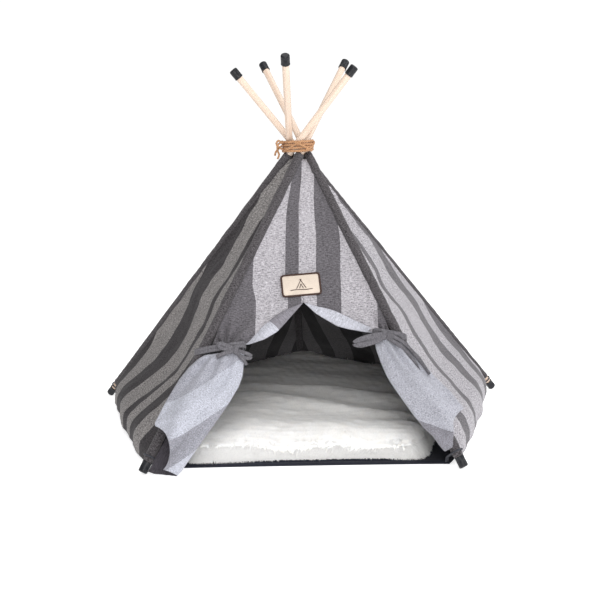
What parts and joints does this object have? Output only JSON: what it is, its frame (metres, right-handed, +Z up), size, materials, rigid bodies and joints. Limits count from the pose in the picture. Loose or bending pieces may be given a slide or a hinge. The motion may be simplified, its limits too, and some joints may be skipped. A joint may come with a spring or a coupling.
{
  "type": "pet teepee tent",
  "caption": "Pyramid pet tent with lashed wooden dowel poles, striped fabric walls, tied-back door curtains, floor sheet and a plush cushion; poles fold together.",
  "frame": {"origin": "on the ground under the centre of the tent, on the underside of the floor sheet", "axes": "+X to the viewer's right when facing the door, +Y from the door to the back pole, +Z up"},
  "size_m": [0.7299, 0.6679, 0.6006],
  "materials": {
    "dowel_wood": "sanded, clear",
    "end_cap": "matte",
    "sleeve_cloth": "plain weave",
    "jute_rope": "twisted jute",
    "striped_cloth": "striped linen weave",
    "curtain_cloth": "striped linen weave, pale reverse",
    "tie_cloth": "plain weave strap",
    "elastic_cord": "braided elastic",
    "label_cloth": "woven patch with a dark border",
    "floor_cloth": "dark coated cloth",
    "cushion_underside": "dark cloth",
    "cushion_fill": "polyester wadding",
    "plush": "long pile plush"
  },
  "bodies": {
    "back_pole": {"pole_back": "dowel_wood", "cap_foot_back": "end_cap", "cap_top_back": "end_cap", "sleeve_back": "sleeve_cloth", "lashing_rope": "jute_rope", "rope_tail": "jute_rope", "floor_sheet": "floor_cloth", "corner_loop_back": "elastic_cord", "corner_loop_side_left": "elastic_cord", "corner_loop_front_left": "elastic_cord", "corner_loop_front_right": "elastic_cord", "corner_loop_side_right": "elastic_cord"},
    "side_left_pole": {"pole_side_left": "dowel_wood", "cap_foot_side_left": "end_cap", "cap_top_side_left": "end_cap", "sleeve_side_left": "sleeve_cloth", "panel_back_left": "striped_cloth"},
    "front_left_pole": {"pole_front_left": "dowel_wood", "cap_foot_front_left": "end_cap", "cap_top_front_left": "end_cap", "sleeve_front_left": "sleeve_cloth", "panel_side_left": "striped_cloth", "front_panel_left": "striped_cloth", "tie_left": "tie_cloth", "label_patch": "label_cloth"},
    "side_right_pole": {"pole_side_right": "dowel_wood", "cap_foot_side_right": "end_cap", "cap_top_side_right": "end_cap", "sleeve_side_right": "sleeve_cloth", "panel_back_right": "striped_cloth"},
    "front_right_pole": {"pole_front_right": "dowel_wood", "cap_foot_front_right": "end_cap", "cap_top_front_right": "end_cap", "sleeve_front_right": "sleeve_cloth", "panel_side_right": "striped_cloth", "front_panel_right": "striped_cloth", "tie_right": "tie_cloth"},
    "door_curtain_left": {"curtain_left": "curtain_cloth"},
    "door_curtain_right": {"curtain_right": "curtain_cloth"},
    "cushion": {"cushion_base": "cushion_underside", "cushion_filling": "cushion_fill", "cushion_cover": "plush"}
  },
  "joints": [
    {"name": "fold_side_left", "type": "hinge", "parent": "back_pole", "child": "side_left_pole", "pos_m": [-0.01048, -0.00652, 0.45648], "axis": [0.4277, -0.7143, -0.554], "range_deg": [0, 39.04], "deforming": ["lashing_rope", "rope_tail", "floor_sheet", "cushion_base", "cushion_filling", "cushion_cover", "panel_back_left", "panel_back_right", "panel_side_left", "panel_side_right", "front_panel_left", "front_panel_right", "curtain_left", "curtain_right", "tie_left", "tie_right", "label_patch", "sleeve_back", "sleeve_side_left", "sleeve_front_left", "sleeve_front_right", "sleeve_side_right", "corner_loop_back", "corner_loop_side_left", "corner_loop_front_left", "corner_loop_front_right", "corner_loop_side_right"]},
    {"name": "fold_front_left", "type": "hinge", "parent": "side_left_pole", "child": "front_left_pole", "pos_m": [0.00319, -0.01196, 0.45736], "axis": [0.7984, 0.233, -0.5552], "range_deg": [0, 37.37]},
    {"name": "fold_side_right", "type": "hinge", "parent": "back_pole", "child": "side_right_pole", "pos_m": [-0.00999, 0.00723, 0.4572], "axis": [0.4767, 0.6821, 0.5545], "range_deg": [0, 38.92]},
    {"name": "fold_front_right", "type": "hinge", "parent": "side_right_pole", "child": "front_right_pole", "pos_m": [0.00403, 0.01172, 0.4563], "axis": [0.7803, -0.2893, 0.5545], "range_deg": [0, 37.56]},
    {"name": "curtain_left_swing", "type": "hinge", "parent": "front_left_pole", "child": "door_curtain_left", "pos_m": [-0.12873, -0.17818, 0.158], "axis": [-0.9999, -0.0124, 0], "range_deg": [0, 20], "deforming": ["curtain_left", "tie_left"]},
    {"name": "curtain_right_swing", "type": "hinge", "parent": "front_right_pole", "child": "door_curtain_right", "pos_m": [0.12871, -0.16538, 0.172], "axis": [-0.998, -0.0636, 0], "range_deg": [0, 20], "deforming": ["curtain_right", "tie_right"]},
    {"name": "cushion_slide", "type": "slide", "parent": "back_pole", "child": "cushion", "axis": [0, -1, 0], "range_m": [0, 0.68], "deforming": ["cushion_base", "cushion_filling", "cushion_cover"]}
  ],
  "couplings": [
    {"joint": "fold_front_left", "follows": "fold_side_left", "ratio": 0.95686},
    {"joint": "fold_side_right", "follows": "fold_side_left", "ratio": 0.99659},
    {"joint": "fold_front_right", "follows": "fold_side_left", "ratio": 0.96157}
  ]
}
